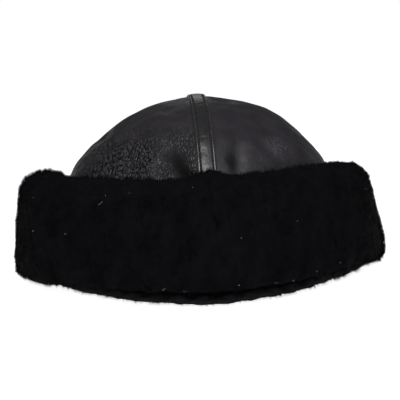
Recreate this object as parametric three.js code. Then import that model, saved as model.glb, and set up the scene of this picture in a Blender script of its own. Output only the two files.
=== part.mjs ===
// Leather cap with a turned-up shearling cuff, as an assembly of separate solids:
// two crown panels, the stitched strap over their seam, the lining band with its fur hem, and the fur cuff.
// Millimetres, +Z up. The cap stands on its hem as it would on a table, with its opening down.
// The origin is the middle of the footprint on the floor, -Y is the front and +Y the back.
import * as THREE from "three";
import { mergeVertices } from "three/addons/utils/BufferGeometryUtils.js";

// Head opening and clearances
const headWidth = 172; // inside the lining's pile, side to side
const headLength = 196; // inside the lining's pile, front to back
const seat = 0.35; // clearance between two pieces that rest on each other
const seamGap = 0.3; // between the two crown panels, under the strap

// Crown and strap
const leatherWall = 1.5;
const crownTop = 121.5; // floor to the top of the crown leather
const wallTop = 40; // floor to where the upright wall turns into the dome
const crownLean = 3; // how far the top of the soft dome leans to the right
const strapWidth = 12;
const strapThickness = 1.4;

// Lining band and the fur roll at its hem
const liningPile = 8; // skin and pile together
const rollHeight = 9; // hem roll under the crown's edge
const rollInset = 16; // from the cuff's face back to the roll's

// Fur cuff
const cuffTop = 76; // floor to the upper edge
const cuffDepth = 36; // crown's wall to the surface of the pile
const cuffFollow = 0.35; // share of the dome's inward curve that the cuff's skin side follows
const lockDepth = 2; // relief of the fur's locks
const lockEvenness = 0.6; // 1 makes all locks stand out alike

// Facets
const weld = 1e-4; // corners this near are one
const panelColumns = 32; // over the half turn of one crown panel
const columnGather = 0.35; // 0 spaces the columns evenly, towards 1 gathers them at the seam
const wallRows = 2;
const domeRows = 14;
const furColumns = 108; // round the cuff and the lining band

// The crown's wall is an oval around the opening, the lining and the leather.
const wallX = headWidth / 2 + liningPile + seat + leatherWall;
const wallY = headLength / 2 + liningPile + seat + leatherWall;
const domeHeight = crownTop - wallTop;
const liningTop = wallTop - seat; // the band ends where the dome starts to lean in
const rollReach = cuffDepth - rollInset; // from the crown's wall out to the roll's face

const radians = THREE.MathUtils.degToRad;
const degrees = THREE.MathUtils.radToDeg;
const turn = 2 * Math.PI;

// The rim's course around the cap, a row for each azimuth in degrees: 0 is +X, 90 the back, 270 the front.
// lift, the hem above the floor, and droop, how far the cuff's outer lower edge hangs, are shares of
// rollHeight. reach is a share of rollReach, depth of cuffDepth and top of cuffTop. lean is the share of
// depth that the upper edge draws in.
const rimSections = [
  { at: 0, lift: 0.27, reach: 1.0, depth: 0.965, lean: 0.31, top: 0.905, droop: 0.9 },
  { at: 28, lift: 0.1, reach: 0.8, depth: 0.98, lean: 0.2, top: 0.85, droop: 0.5 },
  { at: 60, lift: 0.0, reach: 0.85, depth: 0.97, lean: 0.06, top: 0.845, droop: 0.15 },
  { at: 90, lift: 0.0, reach: 1.0, depth: 1.0, lean: 0.04, top: 0.865, droop: 0.0 },
  { at: 122, lift: 0.0, reach: 0.85, depth: 0.97, lean: 0.06, top: 0.845, droop: 0.15 },
  { at: 152, lift: 0.1, reach: 0.65, depth: 0.94, lean: 0.1, top: 0.85, droop: 0.5 },
  { at: 180, lift: 0.3, reach: 0.6, depth: 0.93, lean: 0.09, top: 0.935, droop: 1.0 },
  { at: 208, lift: 0.45, reach: 0.85, depth: 0.95, lean: 0.05, top: 0.985, droop: 0.75 },
  { at: 232, lift: 0.35, reach: 1.0, depth: 0.96, lean: 0.02, top: 1.0, droop: 0.2 },
  { at: 252, lift: 0.15, reach: 1.3, depth: 0.99, lean: 0.05, top: 0.985, droop: 0.0 },
  { at: 270, lift: 0.0, reach: 1.55, depth: 1.0, lean: 0.06, top: 0.98, droop: 0.0 },
  { at: 288, lift: 0.1, reach: 1.35, depth: 0.99, lean: 0.06, top: 1.0, droop: 0.0 },
  { at: 312, lift: 0.33, reach: 1.15, depth: 0.97, lean: 0.1, top: 1.01, droop: 0.1 },
  { at: 338, lift: 0.36, reach: 1.15, depth: 0.955, lean: 0.27, top: 0.96, droop: 0.75 },
];

// Short swellings of the cuff's upper edge: where the strap pushes it up at the front and back, and at one
// corner. spread is in degrees, rise a share of cuffTop.
const cuffSwellings = [
  { at: 270, spread: 5, rise: 0.065 },
  { at: 90, spread: 6, rise: 0.035 },
  { at: 189, spread: 9, rise: 0.05 },
  { at: 338, spread: 7, rise: -0.015 },
];

// The dome is an ellipsoid on the wall's oval. fullness scales it at each tilt in degrees from the vertical.
const domeFullness = [
  { tilt: 0, fullness: 1.0 },
  { tilt: 14, fullness: 0.994 },
  { tilt: 40, fullness: 0.988 },
  { tilt: 52, fullness: 0.992 },
  { tilt: 66, fullness: 1.007 },
  { tilt: 78, fullness: 1.01 },
  { tilt: 90, fullness: 1.0 },
];

// Soft dents and swellings of the leather. at and tilt say where, in degrees, and lean turns the dent, in
// degrees. across and along are its half-widths level with the floor and up the crown, and depth is how
// far the leather sinks, all as shares of wallX.
const crownDents = [
  { at: 256, tilt: 62.5, across: 0.075, along: 0.14, depth: 0.058, lean: 10 },
  { at: 263, tilt: 66, across: 0.05, along: 0.1, depth: 0.042, lean: 50 },
  { at: 284, tilt: 59, across: 0.045, along: 0.2, depth: 0.027, lean: -16 },
  { at: 237, tilt: 62, across: 0.06, along: 0.17, depth: 0.024, lean: 10 },
  { at: 246, tilt: 60, across: 0.05, along: 0.13, depth: -0.014, lean: 15 },
  { at: 303, tilt: 56, across: 0.075, along: 0.2, depth: 0.018, lean: 24 },
  { at: 292, tilt: 51, across: 0.06, along: 0.12, depth: -0.008, lean: 15 },
  { at: 186, tilt: 44, across: 0.17, along: 0.075, depth: 0.022, lean: 0 },
  { at: 325, tilt: 15, across: 0.09, along: 0.09, depth: 0.024, lean: 0 },
  { at: 218, tilt: 68, across: 0.08, along: 0.15, depth: 0.016, lean: 10 },
  { at: 332, tilt: 66, across: 0.09, along: 0.15, depth: 0.01, lean: -12 },
  { at: 74, tilt: 62, across: 0.08, along: 0.16, depth: 0.03, lean: 18 },
  { at: 104, tilt: 60, across: 0.07, along: 0.18, depth: 0.028, lean: -10 },
  { at: 126, tilt: 56, across: 0.1, along: 0.15, depth: 0.022, lean: 15 },
  { at: 48, tilt: 58, across: 0.1, along: 0.16, depth: 0.022, lean: -15 },
  { at: 154, tilt: 66, across: 0.08, along: 0.15, depth: 0.018, lean: 10 },
  { at: 20, tilt: 67, across: 0.09, along: 0.14, depth: 0.018, lean: 0 },
  { at: 4, tilt: 34, across: 0.28, along: 0.2, depth: -0.013, lean: 0 },
];

// The cuff's section, from the hem roll out under the pile, up its face, over the edge and down the skin
// side. out is a share of the cuff's depth, or of what is left of it past the hem roll where past is 1. up
// is a share of its height, hang of the rim's droop and lock of lockDepth. skin is 1 where it lies on the
// crown.
const cuffSection = [
  { out: 0.08, past: 1, up: 0.0, hang: 0, lock: 0, skin: 0 },
  { out: 0.6, past: 1, up: 0.0, hang: 1, lock: 0.8, skin: 0 },
  { out: 0.955, past: 0, up: 0.05, hang: 0.8, lock: 0.9, skin: 0 },
  { out: 1.0, past: 0, up: 0.16, hang: 0.3, lock: 0.5, skin: 0 },
  { out: 0.995, past: 0, up: 0.3, hang: 0, lock: 0.3, skin: 0 },
  { out: 0.965, past: 0, up: 0.5, hang: 0, lock: 0.3, skin: 0 },
  { out: 0.94, past: 0, up: 0.7, hang: 0, lock: 0.35, skin: 0 },
  { out: 0.885, past: 0, up: 0.85, hang: 0, lock: 0.5, skin: 0 },
  { out: 0.74, past: 0, up: 0.945, hang: 0, lock: 0.8, skin: 0 },
  { out: 0.52, past: 0, up: 0.995, hang: 0, lock: 1, skin: 0 },
  { out: 0.3, past: 0, up: 1.005, hang: 0, lock: 1, skin: 0.3 },
  { out: 0.1, past: 0, up: 1.0, hang: 0, lock: 0.7, skin: 0.8 },
  { out: 0.0, past: 0, up: 0.97, hang: 0, lock: 0.2, skin: 1 },
  { out: 0.0, past: 0, up: 0.87, hang: 0, lock: 0, skin: 1 },
  { out: 0.0, past: 0, up: 0.7, hang: 0, lock: 0, skin: 1 },
  { out: 0.0, past: 0, up: 0.4, hang: 0, lock: 0, skin: 1 },
  { out: 0.0, past: 0, up: 0.0, hang: 0, lock: 0, skin: 1 },
];

// The lining band's section, from its lower inner edge round the hem roll and up against the crown.
// out is a share of the roll's reach past the crown's wall, and pile of liningPile in from the band's outer
// face. roll is a share of rollHeight, band of what stands above the roll, and lock of lockDepth.
const liningSection = [
  { out: 0, pile: 0.95, roll: 0.3, band: 0, lock: 0.3 },
  { out: 0, pile: 0.6, roll: 0, band: 0, lock: 0 },
  { out: 0.72, pile: 0, roll: 0, band: 0, lock: 0 },
  { out: 0.93, pile: 0, roll: 0.12, band: 0, lock: 0.7 },
  { out: 1.0, pile: 0, roll: 0.45, band: 0, lock: 1 },
  { out: 0.93, pile: 0, roll: 0.8, band: 0, lock: 0.5 },
  { out: 0.7, pile: 0, roll: 1, band: 0, lock: 0 },
  { out: 0, pile: 0, roll: 1, band: 0, lock: 0 },
  { out: 0, pile: 0, roll: 1, band: 0.93, lock: 0 },
  { out: 0, pile: 0.3, roll: 1, band: 1, lock: 0 },
  { out: 0, pile: 0.85, roll: 1, band: 0.97, lock: 0.3 },
  { out: 0, pile: 1, roll: 1, band: 0.8, lock: 0.3 },
  { out: 0, pile: 1, roll: 1, band: 0.2, lock: 0.3 },
];

// A column of a table in degrees, eased between its rows. After the last row the first comes again.
function eased(rows, place, column, position) {
  const index = rows.findLastIndex((row) => row[place] <= position);
  const before = rows[index];
  const after = rows[index + 1] ?? { ...rows[0], [place]: rows[0][place] + 360 };
  const share = (position - before[place]) / (after[place] - before[place]);
  return before[column] + (after[column] - before[column]) * share * share * (3 - 2 * share);
}

// The rim at an azimuth, with its shares turned into millimetres.
function rimAt(azimuth) {
  const at = THREE.MathUtils.euclideanModulo(degrees(azimuth), 360);
  const share = (column) => eased(rimSections, "at", column, at);
  let swelling = 0;
  for (const { at: middle, spread, rise } of cuffSwellings) {
    const away = THREE.MathUtils.euclideanModulo(at - middle + 180, 360) - 180;
    swelling += rise * Math.exp(-((away / spread) ** 2));
  }
  const hem = share("lift") * rollHeight;
  return {
    hem,
    rollTop: hem + rollHeight,
    reach: share("reach") * rollReach,
    depth: share("depth") * cuffDepth,
    cuffTop: (share("top") + swelling) * cuffTop,
    lean: share("lean"),
    droop: share("droop") * rollHeight,
  };
}

// The crown's outer face before its dents and lean. tilt is 0 at the top and a quarter turn at wallTop.
function domePoint(azimuth, tilt) {
  const fullness = eased(domeFullness, "tilt", "fullness", degrees(tilt));
  return new THREE.Vector3(
    wallX * Math.cos(azimuth) * Math.sin(tilt),
    wallY * Math.sin(azimuth) * Math.sin(tilt),
    domeHeight * Math.cos(tilt),
  )
    .multiplyScalar(fullness)
    .add(new THREE.Vector3(0, 0, wallTop));
}

const dents = crownDents.map((row) => {
  const azimuth = radians(row.at);
  const middle = domePoint(azimuth, radians(row.tilt));
  const level = new THREE.Vector3(-Math.sin(azimuth), Math.cos(azimuth), 0);
  const upward = domePoint(azimuth, radians(row.tilt - 1)).sub(middle).normalize();
  const lean = radians(row.lean);
  return {
    middle,
    acrossAxis: level.clone().multiplyScalar(Math.cos(lean)).addScaledVector(upward, Math.sin(lean)),
    alongAxis: upward.clone().multiplyScalar(Math.cos(lean)).addScaledVector(level, -Math.sin(lean)),
    across: row.across * wallX,
    along: row.along * wallX,
    depth: row.depth * wallX,
  };
});

// How far the dents sink the leather at a point. Under the strap it stays smooth.
function dentDepth(point) {
  let depth = 0;
  for (const dent of dents) {
    const away = point.clone().sub(dent.middle);
    const u = away.dot(dent.acrossAxis) / dent.across;
    const v = away.dot(dent.alongAxis) / dent.along;
    depth += dent.depth * Math.exp(-u * u - v * v);
  }
  const clear = THREE.MathUtils.smoothstep(Math.abs(point.x), strapWidth / 2, strapWidth);
  return depth * clear;
}

// The crown's outer face. rise is 1 at the top, 0 at wallTop, and on the wall down to -1 at its lower edge.
function crownPoint(azimuth, rise) {
  if (rise < 0) {
    const edge = rimAt(azimuth).rollTop + seat;
    const point = domePoint(azimuth, turn / 4);
    point.z = wallTop + rise * (wallTop - edge);
    return point;
  }
  const tilt = (1 - rise) * (turn / 4);
  const point = domePoint(azimuth, tilt);
  const inward = new THREE.Vector3(-point.x / wallX, -point.y / wallY, -(point.z - wallTop) / domeHeight);
  point.addScaledVector(inward.normalize(), dentDepth(point));
  point.x += seamX(point.z);
  return point;
}

// How far the dome has drawn in from the wall's line at a height.
function domeInset(height) {
  if (height <= wallTop) return 0;
  let upper = 0;
  let lower = 90;
  for (let step = 0; step < 20; step += 1) {
    const tilt = (upper + lower) / 2;
    const above = domePoint(0, radians(tilt)).z - wallTop;
    if (above > height - wallTop) upper = tilt;
    else lower = tilt;
  }
  return wallX - domePoint(0, radians(upper)).x;
}

// The middle seam's distance to the right at a height.
function seamX(height) {
  return (crownLean * Math.max(0, height - wallTop)) / domeHeight;
}

const wallNormal = (azimuth) => {
  return new THREE.Vector3(Math.cos(azimuth) / wallX, Math.sin(azimuth) / wallY, 0).normalize();
};

// The crown's outward direction, from two short steps over its face.
function crownNormal(azimuth, rise) {
  const step = 1e-3;
  if (rise > 1 - step) return new THREE.Vector3(0, 0, 1);
  if (rise < step) return wallNormal(azimuth);
  const round = crownPoint(azimuth + step, rise).sub(crownPoint(azimuth - step, rise));
  const up = crownPoint(azimuth, rise + step).sub(crownPoint(azimuth, rise - step));
  return round.cross(up).normalize();
}

// A closed body from a list of faces, each a ring of three or four corner points.
function solidFrom(faces) {
  const corners = [];
  for (const face of faces) {
    for (let k = 1; k + 1 < face.length; k += 1) corners.push(face[0], face[k], face[k + 1]);
  }
  const geometry = new THREE.BufferGeometry().setFromPoints(corners);
  const merged = mergeVertices(geometry, weld);
  merged.computeVertexNormals();
  return merged;
}

// Levels of a panel's rows: the wall from its lower edge, then the dome to the top.
const panelRises = [];
for (let row = 0; row < wallRows; row += 1) panelRises.push(row / wallRows - 1);
for (let row = 0; row <= domeRows; row += 1) panelRises.push(row / domeRows);

// A panel's columns stand closer near its seam, at the front and back, where the leather is puckered.
const panelTurn = (share) => share - (columnGather * Math.sin(turn * share)) / turn;

// One half of the crown, over half a turn from start: a leather wall that ends at its seam and its hem.
function crownPanel(start) {
  const skin = (offset) =>
    panelRises.map((rise) => {
      const row = [];
      for (let column = 0; column <= panelColumns; column += 1) {
        const azimuth = start + panelTurn(column / panelColumns) * (turn / 2);
        const point = crownPoint(azimuth, rise).addScaledVector(crownNormal(azimuth, rise), -offset);
        if (column === 0 || column === panelColumns || rise === 1) point.x = seamX(point.z);
        if (rise === 1) point.y = 0;
        row.push(point);
      }
      return row;
    });
  const outer = skin(0);
  const inner = skin(leatherWall);
  const faces = [];
  const top = panelRises.length - 1;
  for (let i = 0; i < top; i += 1) {
    for (let j = 0; j < panelColumns; j += 1) {
      const corners = [
        [i, j],
        [i, j + 1],
        [i + 1, j + 1],
        [i + 1, j],
      ];
      if (i + 1 === top) corners.pop();
      faces.push(corners.map(([a, b]) => outer[a][b]));
      faces.push(corners.map(([a, b]) => inner[a][b]).reverse());
    }
    faces.push([outer[i][0], outer[i + 1][0], inner[i + 1][0], inner[i][0]]);
    const end = panelColumns;
    faces.push([outer[i][end], inner[i][end], inner[i + 1][end], outer[i + 1][end]]);
  }
  for (let j = 0; j < panelColumns; j += 1) {
    faces.push([outer[0][j], inner[0][j], inner[0][j + 1], outer[0][j + 1]]);
  }
  return solidFrom(faces);
}

// The strap lies on the crown's middle line, from the lower edge at the front over the top to the back.
// side is a share of half its width, and rise of its thickness, with the stitched edges pressed down.
const strapSection = [
  { side: -1, rise: 0 },
  { side: 0, rise: 0 },
  { side: 1, rise: 0 },
  { side: 1, rise: 0.75 },
  { side: 0.72, rise: 0.9 },
  { side: 0.45, rise: 1 },
  { side: -0.45, rise: 1 },
  { side: -0.72, rise: 0.9 },
  { side: -1, rise: 0.75 },
];

function strapGeometry() {
  const front = panelRises.map((rise) => ({ azimuth: -turn / 4, rise }));
  const back = panelRises.slice(0, -1).map((rise) => ({ azimuth: turn / 4, rise }));
  const stations = [...front, ...back.reverse()];
  const rings = stations.map(({ azimuth, rise }) => {
    const middle = crownPoint(azimuth, rise);
    const normal = crownNormal(azimuth, rise);
    const tilt = (1 - Math.max(0, rise)) * (turn / 4);
    const bend = wallX ** 2 * Math.hypot(Math.sin(tilt) / wallY, Math.cos(tilt) / domeHeight);
    return strapSection.map(({ side, rise: thickness }) => {
      const across = (side * strapWidth) / 2;
      const drop = across ** 2 / (2 * bend);
      return middle
        .clone()
        .add(new THREE.Vector3(across, 0, 0))
        .addScaledVector(normal, seat + thickness * strapThickness - drop);
    });
  });
  const faces = [rings[0], rings.at(-1).toReversed()];
  for (let i = 0; i + 1 < rings.length; i += 1) {
    for (let k = 0; k < strapSection.length; k += 1) {
      const next = (k + 1) % strapSection.length;
      faces.push([rings[i][k], rings[i + 1][k], rings[i + 1][next], rings[i][next]]);
    }
  }
  return solidFrom(faces);
}

// Fur locks: neighbouring columns and rows stand out and sink in turn, each by its own amount.
function lockRelief(column, row) {
  const own = THREE.MathUtils.seededRandom(1 + column + row * furColumns);
  const sign = (column + row) % 2 ? 1 : -1;
  return (sign * (lockEvenness + (1 - lockEvenness) * own)) / 2;
}

// A ring round the cap. ringPoint gives how far out from the crown's wall a section point is, and how high.
function furRing(section, ringPoint) {
  const rings = [];
  for (let column = 0; column < furColumns; column += 1) {
    const azimuth = (column / furColumns) * turn;
    const outward = wallNormal(azimuth);
    const flat = section.map((row) => ringPoint(row, azimuth));
    rings.push(
      flat.map(({ out, up }, k) => {
        const before = flat[(k + flat.length - 1) % flat.length];
        const after = flat[(k + 1) % flat.length];
        const normal = new THREE.Vector2(after.up - before.up, before.out - after.out).normalize();
        const relief = section[k].lock * lockDepth * lockRelief(column, k);
        const away = out + normal.x * relief;
        const height = up + normal.y * relief;
        return new THREE.Vector3(
          wallX * Math.cos(azimuth) + outward.x * away + seamX(height),
          wallY * Math.sin(azimuth) + outward.y * away,
          height,
        );
      }),
    );
  }
  const faces = [];
  for (let i = 0; i < furColumns; i += 1) {
    const next = (i + 1) % furColumns;
    for (let k = 0; k < section.length; k += 1) {
      const up = (k + 1) % section.length;
      const face = [rings[i][k], rings[next][k], rings[next][up], rings[i][up]];
      if ((i + k) % 2) face.push(face.shift()); // the facets meet along the line between two raised corners
      faces.push(face);
    }
  }
  return faces;
}

// Room for the strap behind the cuff: full over the strap and a facet beside it, then closing over one more.
function strapRoom(azimuth) {
  const facet = (turn / furColumns) * wallX;
  const side = Math.abs(wallX * Math.cos(azimuth));
  const share = 1 - THREE.MathUtils.smoothstep(side, strapWidth / 2 + facet, strapWidth / 2 + 2 * facet);
  return share * (strapThickness + seat);
}

function cuffPoint(row, azimuth) {
  const rim = rimAt(azimuth);
  const bottom = rim.rollTop + seat;
  const up = bottom + row.up * (rim.cuffTop - bottom) - row.hang * rim.droop;
  const start = row.past * rim.reach;
  const pile = (start + row.out * (rim.depth - seat - start)) * (1 - rim.lean * row.up);
  const skin = row.skin * (strapRoom(azimuth) - cuffFollow * domeInset(up));
  return { out: seat + pile + skin, up };
}

function liningPoint(row, azimuth) {
  const rim = rimAt(azimuth);
  const face = row.out ? row.out * rim.reach : -leatherWall - seat;
  return {
    out: face - row.pile * liningPile,
    up: rim.hem + row.roll * rollHeight + row.band * (liningTop - rim.rollTop),
  };
}

const leather = new THREE.MeshStandardMaterial({ color: 0x1c1b1d, roughness: 0.42, metalness: 0 });
const strapLeather = new THREE.MeshStandardMaterial({ color: 0x201f20, roughness: 0.34, metalness: 0 });
const shearling = new THREE.MeshStandardMaterial({ color: 0x0a0a0b, roughness: 0.95, metalness: 0 });
const liningFur = new THREE.MeshStandardMaterial({ color: 0x09090a, roughness: 0.97, metalness: 0 });

function piece(name, geometry, material) {
  const mesh = new THREE.Mesh(geometry, material);
  mesh.name = name;
  return mesh;
}

const rightPanel = piece("crown_right", crownPanel(-turn / 4), leather);
rightPanel.position.x = seamGap / 2;
const leftPanel = piece("crown_left", crownPanel(turn / 4), leather);
leftPanel.position.x = -seamGap / 2;

const cap = new THREE.Group();
cap.add(
  rightPanel,
  leftPanel,
  piece("seam_strap", strapGeometry(), strapLeather),
  piece("lining_band", solidFrom(furRing(liningSection, liningPoint)), liningFur),
  piece("cuff", solidFrom(furRing(cuffSection, cuffPoint)), shearling),
);

const outline = new THREE.Box3().setFromObject(cap, true);
const middle = outline.getCenter(new THREE.Vector3());
cap.position.set(-middle.x, -middle.y, -outline.min.z);

export default cap;
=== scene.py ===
"""Looks of a leather cap with a turned-up shearling cuff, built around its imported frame.

Metres, +Z up, the front at -Y. The crown's form is worked out in millimetres from the same named sizes and
tables as the frame's source. The fur's surface is taken from the frame's own solids.
"""

import math

import bmesh
import bpy
import numpy as np
from mathutils import Matrix, Vector
from mathutils.bvhtree import BVHTree

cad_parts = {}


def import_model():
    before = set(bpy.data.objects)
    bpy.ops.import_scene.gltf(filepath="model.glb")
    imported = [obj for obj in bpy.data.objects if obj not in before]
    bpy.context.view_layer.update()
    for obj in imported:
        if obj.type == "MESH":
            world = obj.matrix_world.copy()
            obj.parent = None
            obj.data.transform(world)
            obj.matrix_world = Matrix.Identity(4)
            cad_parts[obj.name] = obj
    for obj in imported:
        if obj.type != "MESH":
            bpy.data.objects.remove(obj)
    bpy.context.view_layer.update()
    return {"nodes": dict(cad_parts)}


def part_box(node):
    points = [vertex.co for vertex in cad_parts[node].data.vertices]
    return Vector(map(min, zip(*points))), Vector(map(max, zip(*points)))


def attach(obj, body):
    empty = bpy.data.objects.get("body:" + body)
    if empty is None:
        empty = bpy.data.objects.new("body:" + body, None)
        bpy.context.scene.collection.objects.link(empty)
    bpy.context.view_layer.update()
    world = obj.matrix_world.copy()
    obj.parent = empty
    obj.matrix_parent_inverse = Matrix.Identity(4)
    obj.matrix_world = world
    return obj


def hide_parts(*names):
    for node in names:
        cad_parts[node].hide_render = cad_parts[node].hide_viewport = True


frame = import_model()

MM = 0.001
BODY = "root"

# Crown, in millimetres
WALL_X = 95.85  # half the crown's width at the wall
WALL_Y = 107.85  # half its length
WALL_TOP = 40
CROWN_TOP = 121.5
DOME_HEIGHT = CROWN_TOP - WALL_TOP
CROWN_LEAN = 3  # how far the dome's top leans to the right
LEATHER_WALL = 1.5
SEAT = 0.35  # clearance between pieces that rest on each other
SEAM_GAP = 0.3  # between the crown's two halves
ROLL_TOP = 9  # the hem roll's top above the hem

# Strap, in millimetres
STRAP_WIDTH = 12
STRAP_THICKNESS = 1.4
STITCH_LINE = 0.68  # where the stitches run, as a share of half the strap's width
STITCH_PITCH = 2.8
STITCH_LENGTH = 2.1
THREAD_RADIUS = 0.3
SEWN_HALF = 0.075  # half-width of the pressed line under the stitches, as a share of half the strap
SEWN_DEPTH = 0.4
HOLE_DEPTH = 0.2  # how much deeper the line is at each needle hole
STITCH_LIFT = 0.2  # of a thread's middle above the strap's face
STITCH_DIP = 0.45  # how far a thread's ends are drawn in
STRAP_FULLNESS = 1.1  # the middle's thickness, as a share of the strap's
STRAP_FALL = 0.3  # how much of that share the edges lose
ROLLED_EDGE = 0.2  # width of each rolled edge, as a share of half the strap
EDGE_DROP = 0.94  # how far the edge rolls down: 1 leaves it no thickness
RIPPLE_HALF = 0.5  # half-width of the rippled middle, as a share of half the strap
CREASE_DEPTH = 0.2
CREASE_HALF = 0.45  # half-width of a crease along the strap

# Creases across the strap: distance from its front end and half-length across in millimetres, and the side
STRAP_CREASES = [
    (121.2, 1.6, -2.4), (118.6, 2.0, -2.2), (115.8, 1.8, -2.6), (112.8, 1.4, -2.0), (106.0, 2.4, 2.6),
    (84.0, 2.0, -1.2), (90.2, 2.6, 1.4), (97.0, 3.2, 0.4), (141.0, 3.0, 1.6), (163.0, 2.6, -1.8),
    (171.0, 3.2, 0.8), (214.0, 2.4, -2.4), (219.0, 3.4, 0.2), (226.0, 2.6, 2.0),
]

# Waves of a surface: rows of a height in millimetres, a wavelength in millimetres and a seed
LEATHER_SLACK = [(0.3, 34, 11), (0.16, 15, 12)]
SEAM_PUCKERS = [(0.16, 6.5, 13)]
STRAP_RIPPLE = [(0.035, 4.2, 21)]
HIDE_WAVES = [(0.2, 9, 31), (0.12, 4, 32)]
PILE_WAVES = [(0.2, 5, 40), (0.35, 13, 41)]
PUCKER_REACH = 7  # how far from the strap the puckers fade out
SLACK_START = 12  # height above the wall's top at which the slack is full

# Meshes
PANEL_COLUMNS = 84
WALL_ROWS = 8
DOME_ROWS = 110
COLUMN_GATHER = 0.35
STRAP_STATIONS = 240  # from each end to the top
STRAP_SIDES = 36

# Fur, in millimetres
FUR_VOXEL = 2.1
LINING_VOXEL = 0.85  # the lining's voxel, as a share of FUR_VOXEL
CROWN_REACH = 2  # how near to the crown's wall or over the hem's roll the pile ends
SKIN_FACING = -0.65  # a face of the cuff that turns inward more than this is its skin side
TOP_FACING = 0.1  # a face that looks up more than this has pile also next to the crown
BAND_FACING = -0.3  # a face of the lining band that turns inward less than this lies on the crown
PILE_DEPTH = 3.6  # from the fur's surface in to its roots
HIDE_DEPTH = 0.7  # from the fur's surface in to the matted underfur
PILE_SWELL = 0.55  # how far a middling tip passes the fur's surface
KEPT_CORNERS = 0.8  # share of what the rounding took off the solid that is put back
FIBRE_WIDTH = 0.7  # at the root
CUFF_FIBRES = 4  # to each point of the surface
LINING_FIBRES = 2
CUFF_SECTORS = 4  # pieces that the pile is made in
LINING_SECTORS = 2
CUFF_SEED = 100
LINING_SEED = 200
TUFT_REACH = 0.95  # radius of a tuft, as a share of FUR_VOXEL
TUFT_GATHER = 0.2  # how far a tuft's tips draw together, as a share of its radius
TUFT_CHANCE = (-0.3, 0.25)  # least and most that chance adds to a tuft's length
COMBED_LEAN = 0.12  # lean of neighbouring tufts together, as a share of PILE_DEPTH
COMBED_LENGTH = 18  # wavelength of that lean
OWN_LEAN = 0.07  # lean of each tuft by itself, as a share of PILE_DEPTH
ROUNDED_TUFT = 0.25  # how much shorter a tuft is at its rim
TIP_CHANCE = 0.3  # how far chance moves a tip
STRAY_SHARE = 0.12  # of the fibres
STRAY_LENGTH = 0.9  # how much further a stray fibre stands out
TIP_CLEARANCE = 0.3  # the least height of a tip above the floor
HEM_RISE = 1.9  # how much higher than that the tips keep where the hem's edge waves up
HEM_WAVES = [(0.8, 3.8, 42)]  # as in the tables of waves, but the height is a share of HEM_RISE
HEM_MIDDLE = 0.4  # the share of HEM_RISE between the waves
ROOT_CLEARANCE = 0.6  # the least height of a root above the floor
LINT_LIFT = 0.35  # of a thread of lint's middle above the tips
LINT_DIP = 0.7  # how far its ends are drawn in

# The hem's height above the floor, in millimetres, at each azimuth in degrees: 0 is +X, 270 the front
HEM_LIFT = [
    (0, 2.43), (28, 0.9), (60, 0), (90, 0), (122, 0), (152, 0.9), (180, 2.7), (208, 4.05),
    (232, 3.15), (252, 1.35), (270, 0), (288, 0.9), (312, 2.97), (338, 3.24), (360, 2.43),
]

# The dome's fullness at each tilt in degrees from the vertical
DOME_FULLNESS = [
    (0, 1.0), (14, 0.994), (40, 0.988), (52, 0.992), (66, 1.007), (78, 1.01), (90, 1.0),
]

# Dents of the leather: azimuth and tilt in degrees, half-widths across and along and depth as shares of
# WALL_X, and the dent's own lean in degrees. A negative depth is a swelling.
CROWN_DENTS = [
    (256, 62.5, 0.075, 0.14, 0.058, 10),
    (263, 66, 0.05, 0.1, 0.042, 50),
    (284, 59, 0.045, 0.2, 0.027, -16),
    (237, 62, 0.06, 0.17, 0.024, 10),
    (246, 60, 0.05, 0.13, -0.014, 15),
    (303, 56, 0.075, 0.2, 0.018, 24),
    (292, 51, 0.06, 0.12, -0.008, 15),
    (186, 44, 0.17, 0.075, 0.022, 0),
    (325, 15, 0.09, 0.09, 0.024, 0),
    (218, 68, 0.08, 0.15, 0.016, 10),
    (332, 66, 0.09, 0.15, 0.01, -12),
    (74, 62, 0.08, 0.16, 0.03, 18),
    (104, 60, 0.07, 0.18, 0.028, -10),
    (126, 56, 0.1, 0.15, 0.022, 15),
    (48, 58, 0.1, 0.16, 0.022, -15),
    (154, 66, 0.08, 0.15, 0.018, 10),
    (20, 67, 0.09, 0.14, 0.018, 0),
    (4, 34, 0.28, 0.2, -0.013, 0),
]

# Where the cuff's pile stands out further: the place, the radius and the extra length, all in millimetres
FULLER_PILE = [
    ((-124, -15, 9), 15, 2.8),
    ((-127, -15, 45), 7, 1.4),
    ((-111, -15, 72), 15, 2.6),
    ((128, -22, 12), 15, 2.4),
    ((116, -45, 3), 13, 2.2),
    ((-4, -104, 76), 9, 2.0),
]

# Lint on the cuff: the photograph's pixel that it shows at, its length in millimetres, the way it points in
# degrees from the level, its bend in degrees, and its half-thickness in millimetres
LINT = [
    (34, 231, 1.3, 60, 40, 0.3), (66, 234, 1.1, 20, 60, 0.24), (106, 196, 0.7, 90, 20, 0.16),
    (101, 204, 4.6, 25, 80, 0.12), (34, 198, 2.0, 10, 110, 0.13), (193, 188, 0.8, 40, 40, 0.2),
    (130, 194, 2.6, 0, 10, 0.06), (241, 238, 1.0, 70, 50, 0.19), (364, 189, 0.8, 100, 30, 0.19),
    (297, 221, 0.7, 30, 30, 0.16), (293, 280, 1.0, 15, 60, 0.2), (316, 271, 0.9, 40, 70, 0.18),
    (239, 285, 1.1, 5, 40, 0.22), (164, 289, 2.8, 35, 20, 0.1), (185, 291, 2.6, -10, 60, 0.09),
    (276, 282, 3.4, 12, 20, 0.08), (340, 262, 1.6, 20, 40, 0.09),
]

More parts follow.
